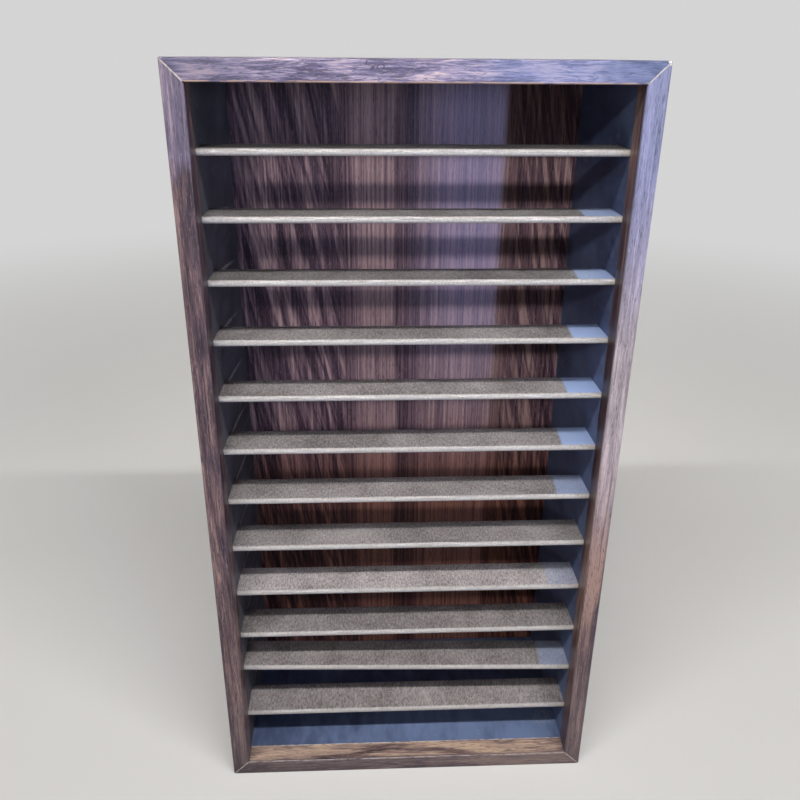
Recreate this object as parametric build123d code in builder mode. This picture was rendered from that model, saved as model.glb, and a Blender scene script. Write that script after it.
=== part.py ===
"""Upright open-fronted rack for video cassettes, in millimetres.

Four film-covered boards are mitred into a case, which closes round twelve narrow shelf strips let into the side
boards just behind the front edge. A back panel stapled into a rebate shuts the rear. The open front faces -Y, +Z is
up, and the origin is the centre of the base.
"""

import os
from math import atan2, cos, sin

from build123d import *

# Slots: one cassette, 187 by 103 by 25, goes into each with its spine to the front. It rests on the strip below and
# is caught under the strip above, so the rear of it hangs free.
slot_count = 13
slot_width = 200.0  # between the side linings
slot_height = 27.5
top_slot_height = 28.5
bottom_slot_height = 25.5
slot_depth = 109.0  # from the front of the case to the face of the back panel

# Case boards and what covers them
board_thickness = 9.2
lining_thickness = 0.2
film_thickness = 0.2
film_return = 12.5  # how far back the film reaches on the inside, from the front of the case
front_radius = 0.8  # outside radius where the film bends round the front of a board
mitre_reveal = 0.3  # the film stops this far short of each mitre, and the pale board shows

# Shelf strips and the housings that hold their ends
shelf_thickness = 3.2
shelf_depth = 24.0
shelf_setback = 0.1  # from the end of the film's return to the nose of a shelf
housing_depth = 4.0  # into the side board
housing_clearance = 0.3  # over a shelf and behind it
shelf_end_clearance = 0.4

# One shelf sits out of level: its left housing is too high
raised_shelf = 11  # counted from the top
raised_shelf_lift = 5.9

# Back panel and its rebate
back_board_thickness = 3.0
back_facing_thickness = 0.2
rebate_width = 5.0  # into each board
back_edge_clearance = 0.3

# Staples, driven flush with the back
staple_crown = 6.4
staple_leg = 10.0
staple_wire_width = 1.2
staple_wire_thickness = 0.6
staple_every_slots = 3  # up the sides
staples_across = 3  # along the top and along the bottom
staple_spacing = 75.0

# Sizes that follow
inner_face = film_thickness + board_thickness  # of a board, from the outside of the case
wall = inner_face + lining_thickness
shelf_pitch = slot_height + shelf_thickness
shelf_count = slot_count - 1
slots_height = top_slot_height + (slot_count - 2) * slot_height + bottom_slot_height
case_width = slot_width + 2 * wall
case_height = slots_height + shelf_count * shelf_thickness + 2 * wall
case_depth = slot_depth + back_facing_thickness + back_board_thickness
front = -case_depth / 2
back = case_depth / 2
shelf_numbers = range(1, slot_count)
shelf_length = slot_width + 2 * (lining_thickness + housing_depth - shelf_end_clearance)
housing_height = shelf_thickness + housing_clearance
housing_length = shelf_setback + shelf_depth + housing_clearance

# Each board's plane starts at an outside front corner of the case: x points into the case, y back, z along the board
left, right = -case_width / 2, case_width / 2
side_length, cross_length = case_height, case_width
left_plane = Plane(origin=(left, front, 0), x_dir=(1, 0, 0), z_dir=(0, 0, 1))
top_plane = Plane(origin=(left, front, case_height), x_dir=(0, 0, -1), z_dir=(1, 0, 0))
right_plane = Plane(origin=(right, front, case_height), x_dir=(-1, 0, 0), z_dir=(0, 0, -1))
bottom_plane = Plane(origin=(right, front, 0), x_dir=(0, 0, 1), z_dir=(-1, 0, 0))


def shelf_bottom(number):
    """Height of the underside of a level shelf, counted from the top."""
    return case_height - wall - top_slot_height - shelf_thickness - (number - 1) * shelf_pitch


def mitre(plane, length, setback=0.0):
    """Cuts both ends of the part being built at 45 degrees, this far short of the mitre."""
    start = Plane(plane.origin, z_dir=plane.z_dir - plane.x_dir)
    end = Plane(plane.origin + plane.z_dir * length, z_dir=-plane.z_dir - plane.x_dir)
    split(bisect_by=start.offset(setback), keep=Keep.TOP)
    split(bisect_by=end.offset(setback), keep=Keep.TOP)


def covered_section():
    """Sketches a board with its lining: one rectangle, rounded in front where the film bends round it."""
    with Locations((film_thickness, film_thickness)):
        corner = (Align.MIN, Align.MIN)
        stack = Rectangle(board_thickness + lining_thickness, case_depth - film_thickness, align=corner)
    fillet(stack.vertices().group_by(Axis.Y)[0], front_radius - film_thickness)


def cut_housings(side):
    """Cuts the shelves' housings into a side board or its lining: side is -1 on the left and 1 on the right."""
    places = []
    for number in shelf_numbers:
        lift = raised_shelf_lift if side < 0 and number == raised_shelf else 0.0
        places.append((side * (slot_width / 2 + lining_thickness), front + film_return, shelf_bottom(number) + lift))
    with Locations(places):
        corner = (Align.CENTER, Align.MIN, Align.MIN)
        Box(2 * housing_depth, housing_length, housing_height, align=corner, mode=Mode.SUBTRACT)


def staples():
    """Staples through the edges of the back panel: up the sides at mid slot, and across the top and bottom."""
    crown_y = back - staple_wire_thickness
    with BuildPart() as staple:
        with BuildSketch(Plane.XY.offset(-staple_wire_width / 2)):
            with Locations((0, crown_y)):
                Rectangle(staple_crown, staple_wire_thickness, align=(Align.CENTER, Align.MIN))
            leg_x = (staple_crown - staple_wire_thickness) / 2
            with Locations((-leg_x, back), (leg_x, back)):
                Rectangle(staple_wire_thickness, staple_leg, align=(Align.CENTER, Align.MAX))
        extrude(amount=staple_wire_width)

    row_inset = inner_face - rebate_width / 2
    side_x = case_width / 2 - row_inset
    mid_slots = [
        shelf_bottom(slot) + shelf_thickness + slot_height / 2
        for slot in range(1, slot_count + 1, staple_every_slots)
    ]
    across = [staple_spacing * (count - (staples_across - 1) / 2) for count in range(staples_across)]
    upright = [Location((x, 0, z), (0, 90, 0)) for x in (-side_x, side_x) for z in mid_slots]
    level = [Location((x, 0, z)) for x in across for z in (row_inset, case_height - row_inset)]
    with BuildPart() as group:
        with Locations(*upright, *level):
            add(staple.part)
    return group.part


def board(plane, length, fasteners, side=0):
    """A board of the case: mitred, rounded in front, rebated for the back, and housed for the shelves if a side."""
    with BuildPart() as core:
        with BuildSketch(plane):
            covered_section()
            with Locations((0, 0)):
                Rectangle(inner_face, case_depth, align=(Align.MIN, Align.MIN), mode=Mode.INTERSECT)
            with Locations((inner_face, case_depth)):
                Rectangle(rebate_width, case_depth - slot_depth, align=(Align.MAX, Align.MAX), mode=Mode.SUBTRACT)
        extrude(amount=length)
        mitre(plane, length)
        if side:
            cut_housings(side)
        add(fasteners, mode=Mode.SUBTRACT)
    return core.part


def lining(plane, length, side=0):
    """The dark sheet on the inside of a board, from its front edge to the rebate."""
    with BuildPart() as sheet:
        with BuildSketch(plane):
            covered_section()
            with Locations((inner_face, 0)):
                Rectangle(lining_thickness, slot_depth, align=(Align.MIN, Align.MIN), mode=Mode.INTERSECT)
        extrude(amount=length)
        mitre(plane, length)
        if side:
            cut_housings(side)
    return sheet.part


def film(plane, length):
    """The wood-grain film round a board: its outside, its front edge and a return over the lining."""
    middle = film_thickness / 2
    return_x = wall + middle
    with BuildPart() as wrap:
        with BuildSketch(plane):
            with BuildLine():
                path = ((middle, case_depth), (middle, middle), (return_x, middle), (return_x, film_return))
                FilletPolyline(*path, radius=front_radius - middle)
            trace(line_width=film_thickness)
        extrude(amount=length)
        mitre(plane, length, mitre_reveal)
    return wrap.part


def back_sheet(near, thickness, fasteners):
    """A layer of the back panel in the rebate, its near face this far behind the front of the case."""
    overlap = lining_thickness + rebate_width - back_edge_clearance
    width = slot_width + 2 * overlap
    height = case_height - 2 * wall + 2 * overlap
    with BuildPart() as sheet:
        with BuildSketch(Plane.XZ.offset(-front - near)):
            with Locations((0, case_height / 2)):
                Rectangle(width, height)
        extrude(amount=-thickness)
        add(fasteners, mode=Mode.SUBTRACT)
    return sheet.part


def shelf(number):
    """A strip with both long edges rounded right over. It lies in its housings, and rises to a left one that is high."""
    lift = raised_shelf_lift if number == raised_shelf else 0.0
    slope = atan2(lift, (slot_width + shelf_length) / 2)
    rise = Vector(-cos(slope), 0, sin(slope))
    nose_y = front + film_return + shelf_setback
    right_end = Plane(origin=(shelf_length / 2, nose_y, shelf_bottom(number)), x_dir=(0, -1, 0), z_dir=rise)
    with BuildPart() as strip:
        with BuildSketch(right_end):
            with Locations((-shelf_depth / 2, shelf_thickness / 2)):
                SlotOverall(shelf_depth, shelf_thickness)
        extrude(amount=shelf_length)
    return strip.part


back_staples = staples()
pieces = {
    "left_side_board": board(left_plane, side_length, back_staples, side=-1),
    "right_side_board": board(right_plane, side_length, back_staples, side=1),
    "top_board": board(top_plane, cross_length, back_staples),
    "bottom_board": board(bottom_plane, cross_length, back_staples),
    "left_side_lining": lining(left_plane, side_length, side=-1),
    "right_side_lining": lining(right_plane, side_length, side=1),
    "top_lining": lining(top_plane, cross_length),
    "bottom_lining": lining(bottom_plane, cross_length),
    "left_side_film": film(left_plane, side_length),
    "right_side_film": film(right_plane, side_length),
    "top_film": film(top_plane, cross_length),
    "bottom_film": film(bottom_plane, cross_length),
    "back_facing": back_sheet(slot_depth, back_facing_thickness, back_staples),
    "back_panel": back_sheet(slot_depth + back_facing_thickness, back_board_thickness, back_staples),
    "back_staples": back_staples,
}
for number in shelf_numbers:
    pieces[f"shelf_{number:02d}"] = shelf(number)

os.makedirs("parts", exist_ok=True)
for name, piece in pieces.items():
    piece.label = name
    export_step(piece, f"parts/{name}.step")
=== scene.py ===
"""The looks of an upright, open-fronted rack for video tapes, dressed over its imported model, in metres."""

from math import cos, pi, radians, sin, tan

import bmesh
import bpy
from mathutils import Matrix, Vector


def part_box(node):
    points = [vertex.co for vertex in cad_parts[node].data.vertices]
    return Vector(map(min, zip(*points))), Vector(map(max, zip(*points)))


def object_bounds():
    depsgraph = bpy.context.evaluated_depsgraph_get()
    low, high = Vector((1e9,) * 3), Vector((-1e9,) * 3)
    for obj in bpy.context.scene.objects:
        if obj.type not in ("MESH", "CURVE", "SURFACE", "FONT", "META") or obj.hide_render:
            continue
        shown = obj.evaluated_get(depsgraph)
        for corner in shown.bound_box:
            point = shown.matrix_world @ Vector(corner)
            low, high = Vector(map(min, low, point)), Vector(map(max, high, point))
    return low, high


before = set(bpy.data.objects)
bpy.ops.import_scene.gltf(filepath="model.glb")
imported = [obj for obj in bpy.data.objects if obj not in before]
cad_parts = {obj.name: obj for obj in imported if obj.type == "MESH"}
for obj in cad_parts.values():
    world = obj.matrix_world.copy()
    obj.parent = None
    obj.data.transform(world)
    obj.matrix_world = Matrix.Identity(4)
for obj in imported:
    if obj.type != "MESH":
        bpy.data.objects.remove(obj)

# Case boards
# Four boards of pale particle board, mitred and glued into the case. Film and lining hide them, except as a
# hairline at the mitres, inside the shelf housings and along their bare rear edges.
mm = 0.001
cad_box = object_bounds()
case_low, case_high = (Vector(corner) for corner in cad_box)
case_front = case_low.y


def paint(red, green, blue):
    """A colour as it shows on a screen, 0 to 255, made linear for a shader."""
    levels = (value / 255 for value in (red, green, blue))
    return (*(v / 12.92 if v <= 0.04045 else ((v + 0.055) / 1.055) ** 2.4 for v in levels), 1.0)


def node(tree, kind, inputs=None, **settings):
    """A shader node with its settings, its inputs given as values or as sockets to link from."""
    made = tree.nodes.new("ShaderNode" + kind)
    for name, value in settings.items():
        setattr(made, name, value)
    for name, value in (inputs or {}).items():
        if isinstance(value, bpy.types.NodeSocket):
            tree.links.new(value, made.inputs[name])
        else:
            made.inputs[name].default_value = value
    return made


def math(tree, operation, first, second=0.5):
    """One step of arithmetic on two values or sockets."""
    return node(tree, "Math", {0: first, 1: second}, operation=operation).outputs[0]


def times(tree, first, *others):
    """The product of several values or sockets."""
    for other in others:
        first = math(tree, "MULTIPLY", first, other)
    return first


def mix_of(tree, *parts):
    """The sum of sockets, each with its share."""
    total = times(tree, *parts[0])
    for socket, share in parts[1:]:
        total = math(tree, "ADD", total, times(tree, socket, share))
    return total


def ramp(tree, factor, stops):
    """A colour from a factor, through stops of (position, colour)."""
    made = node(tree, "ValToRGB", {"Fac": factor})
    elements = made.color_ramp.elements
    while len(elements) < len(stops):
        elements.new(0.5)
    for element, (position, colour) in zip(elements, stops):
        element.position = position
        element.color = colour
    return made.outputs["Color"]


def place_of(tree):
    """The object's own x, y and z, as three sockets."""
    parts = node(tree, "SeparateXYZ", {"Vector": node(tree, "TexCoord").outputs["Object"]})
    return parts.outputs["X"], parts.outputs["Y"], parts.outputs["Z"]


def grain(tree, size, detail=3.0, distortion=0.0, rough=0.5, shift=(0, 0, 0), lean=0.0):
    """Noise on the object's own coordinates, with features of this size in millimetres along x, y and z.
    Where it leans, it runs off to the left as it rises."""
    place = node(tree, "TexCoord").outputs["Object"]
    if lean:
        x, y, z = place_of(tree)
        leaning_x = math(tree, "ADD", x, times(tree, z, lean))
        place = node(tree, "CombineXYZ", {"X": leaning_x, "Y": y, "Z": z}).outputs[0]
    scale = tuple(1 / (length * mm) for length in size)
    mapped = node(tree, "Mapping", {"Vector": place, "Scale": scale, "Location": shift}).outputs["Vector"]
    inputs = {"Vector": mapped, "Scale": 1.0, "Detail": detail, "Distortion": distortion, "Roughness": rough}
    return node(tree, "TexNoise", inputs).outputs["Fac"]


def start_finish(name, roughness, specular=0.5):
    """A material with its node tree and shader."""
    finish = bpy.data.materials.new(name)
    finish.use_nodes = True
    shader = finish.node_tree.nodes["Principled BSDF"]
    shader.inputs["Roughness"].default_value = roughness
    shader.inputs["Specular IOR Level"].default_value = specular
    return finish, finish.node_tree, shader


def raise_grain(tree, shader, height, relief):
    """Raises the surface by a height socket, 0 to 1, times this relief in millimetres."""
    bump = node(tree, "Bump", {"Height": height, "Distance": relief * mm})
    tree.links.new(bump.outputs["Normal"], shader.inputs["Normal"])


def particle_board():
    """Pale chips pressed with glue, with darker chips and small voids among them."""
    finish, tree, shader = start_finish("particle_board", 0.85, 0.2)
    chips = grain(tree, (2.2, 2.2, 2.2), detail=2, distortion=1.2)
    dust = grain(tree, (0.5, 0.5, 0.5), detail=2)
    tone = mix_of(tree, (chips, 0.7), (dust, 0.3))
    stops = [(0.32, paint(136, 120, 104)), (0.45, paint(184, 174, 162)), (0.62, paint(212, 206, 200))]
    tree.links.new(ramp(tree, tone, stops), shader.inputs["Base Color"])
    raise_grain(tree, shader, tone, 0.25)
    return finish


def dress(finish, *names):
    """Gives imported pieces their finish."""
    for name in names:
        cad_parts[name].data.materials.clear()
        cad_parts[name].data.materials.append(finish)


dress(particle_board(), "left_side_board", "right_side_board", "top_board", "bottom_board")

# Linings
# Dark slate-blue sheet laminated to the inside of every board, from the front edge to the back. It is smooth
# with a low sheen. On the right side and the bottom its colour is bluer and paler: painted cool light.
# A pale slanting line runs along the left one, behind each shelf.
shelf_names = [name for name in sorted(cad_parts) if name.startswith("shelf_")]
first_shelf_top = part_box(shelf_names[0])[1].z
shelf_pitch = first_shelf_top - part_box(shelf_names[1])[1].z
inner_half_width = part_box("right_side_lining")[0].x
slot_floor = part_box("bottom_lining")[1].z
neutral_slate = (paint(60, 58, 62), paint(92, 90, 98))
# Painted cool light: the right and bottom linings are the same sheet, coloured bluer and paler.
slate_with_painted_cool_light = (paint(74, 86, 116), paint(110, 126, 162))
pale_mark_colour = paint(176, 176, 180)
slant_start = 34 * mm  # behind the front of the case
slant_end = 104 * mm
slant_drop = 1.7 * mm  # below the top of the shelf, where the line starts
slant_slope = 0.115
slant_wander = 1.6 * mm
dust_colour = paint(205, 206, 208)
dust_starts, dust_full = 0.02, 0.1  # the specks are on the right half only
dust_clusters = [  # where dust lies thickest, and how far it reaches
    ((inner_half_width, case_front + 34 * mm, first_shelf_top + 5 * mm), 6 * mm),
    ((inner_half_width, case_front + 24 * mm, 0.06), 9 * mm),
    ((inner_half_width - 9 * mm, case_front + 30 * mm, slot_floor), 12 * mm),
]


def fade(tree, value, low, high):
    """0 at the low value, 1 at the high one, and smooth between. They may be given the other way round."""
    inputs = {"Value": value, "From Min": low, "From Max": high}
    return node(tree, "MapRange", inputs, interpolation_type="SMOOTHSTEP").outputs["Result"]


def blend(tree, factor, below, above, way="MIX"):
    """Two colours mixed by a factor."""
    inputs = {0: factor, 6: below, 7: above}
    return node(tree, "Mix", inputs, data_type="RGBA", blend_type=way).outputs[2]


def distance_from(tree, centre):
    """How far the surface lies from a point."""
    place = node(tree, "TexCoord").outputs["Object"]
    return node(tree, "VectorMath", {0: place, 1: centre}, operation="DISTANCE").outputs["Value"]


def sprinkle(tree, centre, reach):
    """Specks of dust scattered about a place, thinning out over the reach."""
    near = fade(tree, distance_from(tree, centre), reach, reach * 0.3)
    speck = grain(tree, (0.6, 0.6, 0.6), detail=1, shift=(7.3, 1.9, 4.1))
    return fade(tree, mix_of(tree, (near, 0.16), (speck, 1.0)), 0.76, 0.81)


def pale_slant_lines(tree):
    """A pale slanting line in every slot but the top one, fading out toward the back."""
    x, y, z = place_of(tree)
    depth = math(tree, "SUBTRACT", y, case_front)
    along = math(tree, "SUBTRACT", depth, slant_start)
    level = math(tree, "ADD", z, times(tree, along, slant_slope))
    wander = times(tree, grain(tree, (40, 25, 9), detail=1), slant_wander)
    below = math(tree, "SUBTRACT", first_shelf_top - slant_drop, math(tree, "ADD", level, wander))
    offset = math(tree, "PINGPONG", below, shelf_pitch / 2)
    line = fade(tree, offset, 1.3 * mm, 0.5 * mm)
    starts = fade(tree, depth, slant_start, slant_start + 8 * mm)
    ends = fade(tree, depth, slant_end, slant_end - 45 * mm)
    on_left = fade(tree, x, -inner_half_width + 2 * mm, -inner_half_width + 1 * mm)
    patchy = fade(tree, grain(tree, (5, 12, 2.5), detail=3), 0.22, 0.5)
    under_first = fade(tree, below, -2 * mm, -1 * mm)
    return times(tree, line, starts, ends, on_left, patchy, under_first)


def slate_lining(name, dark, light):
    """Clouded slate sheet with a few specks of dust and pale slanting lines."""
    finish, tree, shader = start_finish(name, 0.42, 0.2)
    cloud = grain(tree, (60, 60, 40), detail=2)
    haze = grain(tree, (6, 14, 6), detail=3)
    base = ramp(tree, mix_of(tree, (cloud, 0.6), (haze, 0.4)), [(0.38, dark), (0.62, light)])
    speck = fade(tree, grain(tree, (0.9, 1.6, 0.9), detail=1), 0.76, 0.82)
    on_right = fade(tree, place_of(tree)[0], dust_starts, dust_full)
    colour = blend(tree, times(tree, speck, on_right, 0.6), base, pale_mark_colour)
    colour = blend(tree, times(tree, pale_slant_lines(tree), 0.8), colour, pale_mark_colour)
    for centre, reach in dust_clusters:
        colour = blend(tree, sprinkle(tree, centre, reach), colour, dust_colour)
    tree.links.new(colour, shader.inputs["Base Color"])
    tree.links.new(fade(tree, haze, -0.6, 1.4), shader.inputs["Roughness"])
    raise_grain(tree, shader, grain(tree, (0.4, 0.4, 0.4), detail=1), 0.02)
    return finish


dress(slate_lining("neutral_slate", *neutral_slate), "left_side_lining", "top_lining")
# The right and bottom linings carry painted cool light.
dress(slate_lining("slate_with_painted_cool_light", *slate_with_painted_cool_light), "right_side_lining", "bottom_lining")

# Wood-grain film
# Printed and embossed vinyl wrapped round each board: its outside, its front edge and 12.5 mm of its inside.
# The print runs along the board. Pale board shows where the film has drawn back at the mitres, and pale
# lines run along the bends of the top and bottom rails.
film_box = {side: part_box(f"{side}_film") for side in ("left_side", "right_side", "top", "bottom")}
shelf_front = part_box(shelf_names[0])[0].y
bare_board = paint(204, 198, 198)
vein_colour = paint(38, 36, 62)
pale_bend_colour = paint(206, 168, 142)
chip_reach = 3.4 * mm  # of the knock on the top right corner


def apart(tree, first, second):
    """How far one value lies from another."""
    return math(tree, "ABSOLUTE", math(tree, "SUBTRACT", first, second))


def wood_print(name, along, tones, seed, wave):
    """The printed figure, run along one axis: broad bands, streaks, curving veins, fibres and dark pores.
    Returns its colour, and its light and shade for what is tinted."""
    finish, tree, shader = start_finish(name, 0.36, 0.4)

    def size(across, length):
        return tuple(length if axis == along else across for axis in "xyz")

    shift = (seed, seed * 1.7, seed * 0.6)
    broad = grain(tree, size(15, 130 / wave), detail=2, distortion=0.5 * wave, shift=shift)
    streak = grain(tree, size(2.6, 60 / wave), detail=4, distortion=0.9 * wave, rough=0.6, shift=shift)
    fibre = grain(tree, size(0.55, 11), detail=2, rough=0.6, shift=shift)
    tone = mix_of(tree, (broad, 0.42), (streak, 0.4), (fibre, 0.18))
    deep, dark, middle, light = tones
    colour = ramp(tree, tone, [(0.40, deep), (0.47, dark), (0.525, middle), (0.59, light)])
    bend = grain(tree, size(10, 170 / wave), detail=3, distortion=1.1 * wave, shift=shift)
    for level, width, strength in ((0.46, 0.016, 0.8), (0.56, 0.010, 0.55)):
        line = fade(tree, apart(tree, bend, level), width, width * 0.2)
        vein = times(tree, line, strength, fade(tree, streak, 0.3, 0.55))
        colour = blend(tree, vein, colour, vein_colour)
    pores = fade(tree, grain(tree, size(0.42, 4.5), detail=1, shift=shift), 0.58, 0.68)
    colour = blend(tree, times(tree, pores, 0.55), colour, deep)
    flecks = fade(tree, grain(tree, size(0.38, 3.5), detail=1, shift=(seed + 5, 3, seed)), 0.62, 0.72)
    colour = blend(tree, times(tree, flecks, 0.35), colour, light)
    raise_grain(tree, shader, math(tree, "SUBTRACT", fibre, pores), 0.05)
    shade = mix_of(tree, (fade(tree, tone, 0.42, 0.57), 0.62), (flecks, 0.3), (pores, -0.3))
    return finish, tree, shader, colour, math(tree, "ADD", shade, 0.66)


def tinted(tree, along, colour, shade, tints):
    """The film's front edge with tints over it along its length: colour, from, to and share of each.
    Some of the tints are painted cool sheen.
    """
    x, y, z = place_of(tree)
    drift = times(tree, math(tree, "SUBTRACT", grain(tree, (14, 14, 40), detail=2), 0.5), 40 * mm)
    along_place = math(tree, "ADD", z if along == "z" else x, drift)
    on_front = fade(tree, y, case_front + 2.2 * mm, case_front + 0.8 * mm)
    for tint, start, end, share in tints:
        cover = times(tree, fade(tree, along_place, start, end), on_front, share)
        colour = blend(tree, cover, colour, blend(tree, 1.0, tint, shade, "MULTIPLY"))
    return colour


def mitre_wear(tree, side, along):
    """Pale ragged ends where the film has drawn back from the front of its mitres."""
    x, y, z = place_of(tree)
    outside = film_box[side][1 if side in ("right_side", "top") else 0]
    if along == "z":
        along_place, start, end, inward = z, case_low.z, case_high.z, apart(tree, x, outside.x)
    else:
        along_place, start, end, inward = x, case_low.x, case_high.x, apart(tree, z, outside.z)
    to_end = math(tree, "SUBTRACT", (end - start) / 2, apart(tree, along_place, (start + end) / 2))
    to_mitre = math(tree, "SUBTRACT", to_end, inward)
    ragged = times(tree, grain(tree, (1.6, 1.6, 1.6), detail=3), 0.8 * mm)
    wear = fade(tree, math(tree, "SUBTRACT", to_mitre, ragged), 0.2 * mm, -0.2 * mm)
    return times(tree, wear, fade(tree, y, case_front + 0.5 * mm, case_front + 0.2 * mm))


def corner_chip(tree):
    """The knocked top right corner, where the film has gone."""
    corner = (case_high.x, case_front, case_high.z)
    ragged = times(tree, grain(tree, (1.2, 1.2, 1.2), detail=3), 2 * mm)
    away = math(tree, "ADD", distance_from(tree, corner), ragged)
    return fade(tree, away, chip_reach, chip_reach - 0.4 * mm)


def pale_top_bend(tree, colour):
    """The top rail, paler along its lower bend."""
    x, y, z = place_of(tree)
    rail_foot = film_box["top"][0].z
    top_patches = fade(tree, grain(tree, (9, 1, 1), detail=3), 0.36, 0.54)
    to_bend = math(tree, "ADD", y, math(tree, "SUBTRACT", z, rail_foot))
    near_bend = fade(tree, to_bend, case_front + 1.0 * mm, case_front + 0.7 * mm)
    return blend(tree, times(tree, near_bend, top_patches, 0.7), colour, pale_bend_colour)


def pale_bottom_edges(tree, colour):
    """The bottom rail, with broken pale lines along its upper bend and along the film's rear edge."""
    x, y, z = place_of(tree)
    rail_top = film_box["bottom"][1].z
    bottom_patches = fade(tree, grain(tree, (4, 1, 1), detail=3), 0.40, 0.60)
    to_bend = math(tree, "ADD", y, math(tree, "SUBTRACT", rail_top, z))
    near_bend = fade(tree, to_bend, case_front + 0.62 * mm, case_front + 0.50 * mm)
    near_rear = fade(tree, y, shelf_front - 0.9 * mm, shelf_front - 0.5 * mm)
    on_top = fade(tree, z, rail_top - 0.5 * mm, rail_top - 0.2 * mm)
    colour = blend(tree, times(tree, near_bend, bottom_patches, 0.4), colour, bare_board)
    return blend(tree, times(tree, near_rear, on_top, bottom_patches), colour, dust_colour)


def worn_film(side, along, tones, seed, wave, tints):
    """The film of one board, with its tints, some of them painted cool sheen, and its wear."""
    finish, tree, shader, colour, shade = wood_print(f"{side}_film", along, tones, seed, wave)
    colour = tinted(tree, along, colour, shade, tints)
    colour = blend(tree, mitre_wear(tree, side, along), colour, bare_board)
    if side in ("top", "right_side"):
        colour = blend(tree, corner_chip(tree), colour, bare_board)
    if side == "top":
        colour = pale_top_bend(tree, colour)
    if side == "bottom":
        colour = pale_bottom_edges(tree, colour)
    tree.links.new(colour, shader.inputs["Base Color"])
    return finish


brown = (paint(44, 34, 44), paint(82, 64, 70), paint(118, 94, 95), paint(162, 132, 122))
# The top rail's purple tones: partly its print, partly painted cool sheen.
plum_with_painted_sheen = (paint(70, 64, 90), paint(112, 103, 131), paint(157, 143, 166), paint(210, 184, 182))
golden = (paint(66, 54, 58), paint(126, 104, 100), paint(168, 143, 132), paint(204, 176, 154))
# Tints on the front edges. The pale, lavender and blue ones high on the stiles and along the top rail are
# painted cool sheen; the others are darker and paler tones.
left_tints_and_painted_sheen = [(paint(132, 122, 146), 0.366, 0.376, 0.55), (paint(86, 73, 78), 0.09, 0.05, 0.5)]
right_tints_and_painted_sheen = [
    (paint(158, 135, 133), 0.11, 0.05, 0.35),
    (paint(200, 184, 188), 0.15, 0.24, 0.66),
    (paint(124, 128, 172), 0.27, 0.36, 0.66),
    (paint(86, 92, 124), 0.345, 0.38, 0.5),
]
top_tints_and_painted_sheen = [
    (paint(84, 80, 106), -0.06, -0.085, 0.65),
    (paint(92, 104, 146), 0.005, 0.045, 0.66),
    (paint(56, 68, 106), 0.07, 0.09, 0.6),
]
bottom_tints = [(paint(82, 68, 76), -0.2, -0.19, 0.68)]  # all along
dress(worn_film("left_side", "z", brown, 3.1, 1.2, left_tints_and_painted_sheen), "left_side_film")
dress(worn_film("right_side", "z", brown, 8.4, 0.8, right_tints_and_painted_sheen), "right_side_film")
dress(worn_film("top", "x", plum_with_painted_sheen, 5.8, 2.6, top_tints_and_painted_sheen), "top_film")
dress(worn_film("bottom", "x", golden, 11.2, 1.8, bottom_tints), "bottom_film")

# Shelves
# Twelve narrow strips of thin fibreboard, their ends let into the side boards. Both long edges are rounded
# over and the front ones are sealed pale. The tops are grey-brown, with fibres lying front to back.
top_greys = ((0.36, (98, 92, 90)), (0.5, (134, 128, 128)), (0.64, (164, 158, 157)))
top_fleck_colour = paint(78, 70, 66)
sealed_greys = [(0.3, paint(156, 150, 148)), (0.6, paint(184, 179, 176))]
stain_colour = paint(112, 94, 78)
painted_light_colour = paint(164, 188, 234)  # painted cool light: a pale blue patch on the top, at the right end of some strips
painted_light_width = 19 * mm
painted_light_lean = 0.07
shelves_with_painted_light = {2: 0.6, 3: 0.75, 4: 0.85, 5: 0.9, 6: 0.8, 7: 0.5, 9: 0.3, 11: 0.35}
dusty_shelves = {3: 14 * mm, 9: 12 * mm}
# Painted light and shade: each strip's board is made lighter or darker for the light that falls on it.
painted_lightness_of_shelves = (0.88, 0.88, 0.86, 0.98, 1.05, 1.02, 1.06, 1.04, 1.26, 1.0, 1.02, 1.08)


def shelf_fibreboard(number, painted_lightness):
    """One strip's board, made lighter or darker than the next: painted light and shade."""
    finish, tree, shader = start_finish(f"shelf_fibreboard_{number:02d}", 0.5, 0.25)
    mottle = grain(tree, (0.9, 2.6, 0.9), detail=3, rough=0.65)
    patch = grain(tree, (22, 30, 12), detail=2)
    fleck = grain(tree, (0.7, 1.8, 0.7), detail=1)
    tone = mix_of(tree, (mottle, 0.65), (patch, 0.35))
    stops = [(place, paint(*(level * painted_lightness for level in grey))) for place, grey in top_greys]
    top = ramp(tree, tone, stops)
    top = blend(tree, times(tree, fade(tree, fleck, 0.62, 0.72), 0.7), top, top_fleck_colour)
    x, y, z = place_of(tree)
    # Painted cool light: the right end of the top is coloured pale blue, where cool light falls.
    if number in shelves_with_painted_light:
        leaning = math(tree, "SUBTRACT", x, times(tree, math(tree, "SUBTRACT", y, shelf_front), painted_light_lean))
        painted_light = fade(tree, leaning, inner_half_width - painted_light_width, inner_half_width - painted_light_width + 2 * mm)
        top = blend(tree, times(tree, painted_light, shelves_with_painted_light[number]), top, painted_light_colour)
    wander = times(tree, grain(tree, (3, 3, 3), detail=2), 0.5 * mm)
    nose = fade(tree, math(tree, "SUBTRACT", y, wander), shelf_front + 1.3 * mm, shelf_front + 1.0 * mm)
    sealed = ramp(tree, mottle, sealed_greys)
    stain = fade(tree, grain(tree, (1.2, 1.2, 1.2), detail=2), 0.64, 0.74)
    sealed = blend(tree, times(tree, stain, 0.5), sealed, stain_colour)
    colour = blend(tree, nose, top, sealed)
    if number in dusty_shelves:
        shelf_top = first_shelf_top - (number - 1) * shelf_pitch
        centre = (inner_half_width - 14 * mm, shelf_front + 12 * mm, shelf_top)
        colour = blend(tree, sprinkle(tree, centre, dusty_shelves[number]), colour, dust_colour)
    tree.links.new(colour, shader.inputs["Base Color"])
    raise_grain(tree, shader, mottle, 0.03)
    return finish


for number, (name, painted_lightness) in enumerate(zip(shelf_names, painted_lightness_of_shelves), start=1):
    dress(shelf_fibreboard(number, painted_lightness), name)

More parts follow.
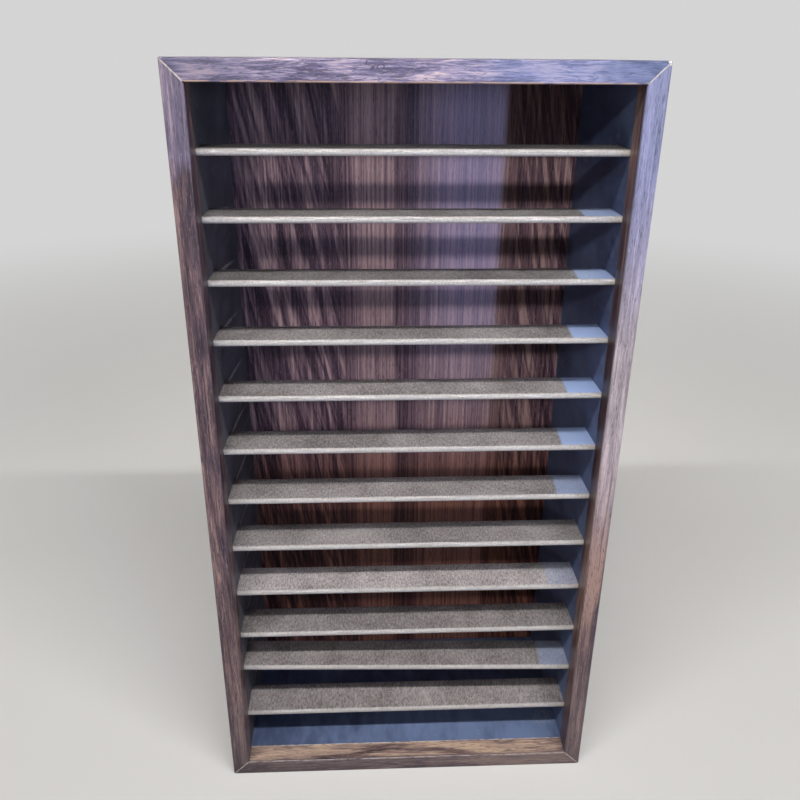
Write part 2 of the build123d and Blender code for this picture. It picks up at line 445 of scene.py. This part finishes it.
# Back panel
# Thin hardboard let into a rebate round the back and stapled. Its face carries a printed sheet whose wood
# grain runs up and down, in boards of different tone side by side. Its rear is bare brown board.
facing_tones = ((0.36, (42, 28, 37)), (0.44, (73, 53, 63)), (0.52, (115, 90, 96)), (0.61, (166, 135, 133)))
facing_bands = (  # place across the panel in millimetres from the middle, and tone
    (-100, 0.42), (-90, 0.43), (-84, 0.49), (-62, 0.45), (-50, 0.51), (-36, 0.46),
    (-29, 0.57), (-22, 0.60), (-6, 0.59), (-3, 0.44), (8, 0.45), (11, 0.56),
    (30, 0.61), (56, 0.61), (62, 0.53), (82, 0.55), (100, 0.48),
)
plain_from, plain_to = -34 * mm, 62 * mm  # between them the figure runs straight, and outside it sweeps
# Painted cool sheen on the panel: where it lies across, how high it starts, and its colour.
painted_sheen_from, painted_sheen_to = -6 * mm, 60 * mm
painted_sheen_above = 0.18
painted_sheen_colour = paint(150, 148, 196)
painted_shade_below = 0.21  # painted shade: darker and more golden toward the foot, partly a golden tone of the print
golden_painted_shade = paint(204, 156, 118)
sweep_colour = paint(48, 34, 56)
facing_pore_colour = paint(36, 24, 34)
facing_fleck_colour = paint(168, 140, 132)


def bands_across(tree, x):
    """The tone of the printed boards, by their place across the panel, with wavering joints."""
    drift = math(tree, "SUBTRACT", grain(tree, (30, 30, 90), detail=2), 0.5)
    across = math(tree, "ADD", x, times(tree, drift, 12 * mm))
    low, high = facing_bands[0][0], facing_bands[-1][0]
    inputs = {"Value": across, "From Min": low * mm, "From Max": high * mm}
    factor = node(tree, "MapRange", inputs).outputs["Result"]
    stops = [((place - low) / (high - low), (tone, tone, tone, 1.0)) for place, tone in facing_bands]
    return node(tree, "RGBToBW", {"Color": ramp(tree, factor, stops)}).outputs["Val"]


def printed_facing():
    """The printed sheet: straight grain in the middle and sweeping figure at the sides. A painted cool sheen
    lies high in the middle, and painted shade darkens it to golden brown toward the foot.
    """
    finish, tree, shader = start_finish("printed_facing", 0.45, 0.15)
    x, y, z = place_of(tree)
    swept_left = fade(tree, x, plain_from, plain_from - 8 * mm)
    swept_right = fade(tree, x, plain_to, plain_to + 6 * mm)
    swept = math(tree, "MAXIMUM", swept_left, swept_right)
    sweep = grain(tree, (5, 5, 85), detail=3, distortion=0.8, rough=0.55, shift=(3.7, 0, 1.2), lean=0.2)
    straight = grain(tree, (1.3, 1.3, 110), detail=3, rough=0.6)
    swing = times(tree, math(tree, "SUBTRACT", sweep, 0.5), swept)
    tone = mix_of(tree, (bands_across(tree, x), 0.62), (straight, 0.38), (swing, 0.55))
    colour = ramp(tree, tone, [(place, paint(*level)) for place, level in facing_tones])
    streak = times(tree, fade(tree, apart(tree, sweep, 0.45), 0.05, 0.01), swept, 0.4)
    colour = blend(tree, streak, colour, sweep_colour)
    pores = fade(tree, grain(tree, (0.5, 0.5, 6), detail=1), 0.58, 0.68)
    colour = blend(tree, times(tree, pores, 0.45), colour, facing_pore_colour)
    flecks = fade(tree, grain(tree, (0.4, 0.4, 4.5), detail=1, shift=(9, 2, 5)), 0.62, 0.72)
    colour = blend(tree, times(tree, flecks, 0.3), colour, facing_fleck_colour)
    # Painted cool sheen: a pale bluish patch high on the panel, cut off sharply on the right.
    from_left = fade(tree, x, painted_sheen_from, painted_sheen_from + 42 * mm)
    to_right = fade(tree, x, painted_sheen_to, painted_sheen_to - 4 * mm)
    painted_sheen_mask = times(tree, from_left, to_right, fade(tree, z, painted_sheen_above, painted_sheen_above + 0.14), 0.34)
    colour = blend(tree, painted_sheen_mask, colour, painted_sheen_colour)
    # Painted shade: darker and more golden toward the foot, partly a golden tone of the print.
    shaded_colour = blend(tree, 1.0, colour, golden_painted_shade, "MULTIPLY")
    painted_shade_mask = times(tree, fade(tree, z, painted_shade_below, painted_shade_below - 0.07), 0.85)
    tree.links.new(blend(tree, painted_shade_mask, colour, shaded_colour), shader.inputs["Base Color"])
    raise_grain(tree, shader, math(tree, "SUBTRACT", straight, pores), 0.04)
    return finish


def raw_hardboard():
    """Bare brown hardboard, with pressed fibres."""
    finish, tree, shader = start_finish("raw_hardboard", 0.75, 0.25)
    fibres = grain(tree, (0.8, 0.8, 2.2), detail=3)
    patch = grain(tree, (35, 35, 60), detail=2)
    tone = mix_of(tree, (fibres, 0.6), (patch, 0.4))
    stops = [(0.35, paint(92, 66, 44)), (0.5, paint(126, 94, 64)), (0.65, paint(154, 120, 86))]
    tree.links.new(ramp(tree, tone, stops), shader.inputs["Base Color"])
    raise_grain(tree, shader, fibres, 0.1)
    return finish


def staple_wire():
    """Galvanised wire, a little dulled."""
    finish, tree, shader = start_finish("staple_wire", 0.35)
    shader.inputs["Metallic"].default_value = 1.0
    dull = grain(tree, (1.5, 1.5, 1.5), detail=2)
    colours = [(0.4, paint(150, 148, 142)), (0.6, paint(196, 195, 190))]
    tree.links.new(ramp(tree, dull, colours), shader.inputs["Base Color"])
    return finish


dress(printed_facing(), "back_facing")
dress(raw_hardboard(), "back_panel")
dress(staple_wire(), "back_staples")

# Studio
# A pale floor that runs out into a pale background, a key lamp high in front, a lower front lamp aimed at the
# upper slots, a cool lamp from the right, and the camera at the photograph's viewing angle.
floor_reach = 40.0
floor_clear = 0.45  # the floor is itself up to here, and then turns into the background
floor_pale = [(0.3, paint(229, 228, 226)), (0.7, paint(233, 232, 230))]
floor_bounce = paint(118, 112, 106)  # what the floor throws back at the object
background_level = 0.66
shadow_level = 0.09  # of the light that reaches the object from all round
white = (1.0, 1.0, 1.0)


def seen_directly(tree):
    """1 for what the camera, a reflection or a view through glass shows, and 0 for light on the object."""
    path = node(tree, "LightPath")
    seen = math(tree, "MAXIMUM", path.outputs["Is Camera Ray"], path.outputs["Is Glossy Ray"])
    return math(tree, "MAXIMUM", seen, path.outputs["Is Transmission Ray"])


def pale_floor():
    """A matt pale floor. Far off, where it would end in a hard line, what the eye sees is the background."""
    finish, tree, shader = start_finish("pale_floor", 0.8, 0.2)
    seen = seen_directly(tree)
    pale = ramp(tree, grain(tree, (400, 400, 400), detail=2), floor_pale)
    tree.links.new(blend(tree, seen, floor_bounce, pale), shader.inputs["Base Color"])
    far = fade(tree, distance_from(tree, (0, 0, 0)), floor_clear, floor_clear * 4)
    glow = node(tree, "Emission", {"Color": (*white, 1.0), "Strength": background_level})
    both = node(tree, "MixShader", {0: times(tree, far, seen), 1: shader.outputs[0], 2: glow.outputs[0]})
    tree.links.new(both.outputs[0], tree.nodes["Material Output"].inputs["Surface"])
    return finish


disc = bmesh.new()
bmesh.ops.create_circle(disc, cap_ends=True, segments=64, radius=floor_reach)
floor_mesh = bpy.data.meshes.new("floor")
disc.to_mesh(floor_mesh)
disc.free()
floor_mesh.materials.append(pale_floor())
floor = bpy.data.objects.new("floor", floor_mesh)
bpy.context.scene.collection.objects.link(floor)

world = bpy.data.worlds.new("studio")
world.use_nodes = True
bpy.context.scene.world = world
world_tree = world.node_tree
background = world_tree.nodes["Background"]
levels = {"Value": seen_directly(world_tree), "To Min": shadow_level, "To Max": background_level}
strength = node(world_tree, "MapRange", levels)
world_tree.links.new(strength.outputs["Result"], background.inputs["Strength"])
background.inputs["Color"].default_value = (*white, 1.0)

middle_of_front = Vector((0.0, case_front, case_high.z / 2))


def soft_lamp(name, turn, rise, away, size, level, colour=white, spread=180, lift=0.0):
    """A lamp seen from the middle of the front: degrees to the right and up, and metres away. Level 1 lights
    a surface that faces it so that its colour shows as written. A grid narrows its spread, and lift raises
    its aim."""
    lamp = bpy.data.lights.new(name, "AREA")
    lamp.shape = "RECTANGLE"
    lamp.size, lamp.size_y = size
    half_spread = radians(spread) / 2
    lamp.energy = level * (pi * away) ** 2 * (1 - half_spread / tan(half_spread))
    lamp.color = colour
    lamp.spread = radians(spread)
    turn, rise = radians(turn), radians(rise)
    place = middle_of_front + away * Vector((sin(turn) * cos(rise), -cos(turn) * cos(rise), sin(rise)))
    aim = middle_of_front + Vector((0.0, 0.0, lift))
    holder = bpy.data.objects.new(name, lamp)
    holder.location = place
    holder.rotation_euler = (aim - place).to_track_quat("-Z", "Y").to_euler()
    holder.visible_camera = False
    bpy.context.scene.collection.objects.link(holder)


soft_lamp("key", 0, 59.5, 3.0, (5.0, 0.12), 1.25, (1.0, 0.985, 0.96))
soft_lamp("front", -9, 25.2, 2.5, (0.36, 0.12), 0.7, spread=18, lift=0.16)
soft_lamp("cool side", 24.9, 8, 1.5, (0.06, 0.5), 0.7, (0.55, 0.70, 1.0), spread=26, lift=0.12)

lens_in_pixels = 783.67
photo_pixels = 800
camera_turn, camera_tilt, camera_roll = radians(2.65), radians(23.73), radians(0.45)
camera_place = Vector((-23.57 * mm, case_front - 361.36 * mm, 415.27 * mm))
camera_data = bpy.data.cameras.new("camera")
camera_data.sensor_width = 36.0
camera_data.lens = camera_data.sensor_width * lens_in_pixels / photo_pixels
camera = bpy.data.objects.new("camera", camera_data)
turned = Matrix.Rotation(-camera_turn, 4, "Z") @ Matrix.Rotation(radians(90) - camera_tilt, 4, "X")
camera.matrix_world = Matrix.Translation(camera_place) @ turned @ Matrix.Rotation(camera_roll, 4, "Z")
bpy.context.scene.collection.objects.link(camera)
bpy.context.scene.camera = camera
bpy.context.scene.view_settings.view_transform = "Standard"

bpy.context.view_layer.update()
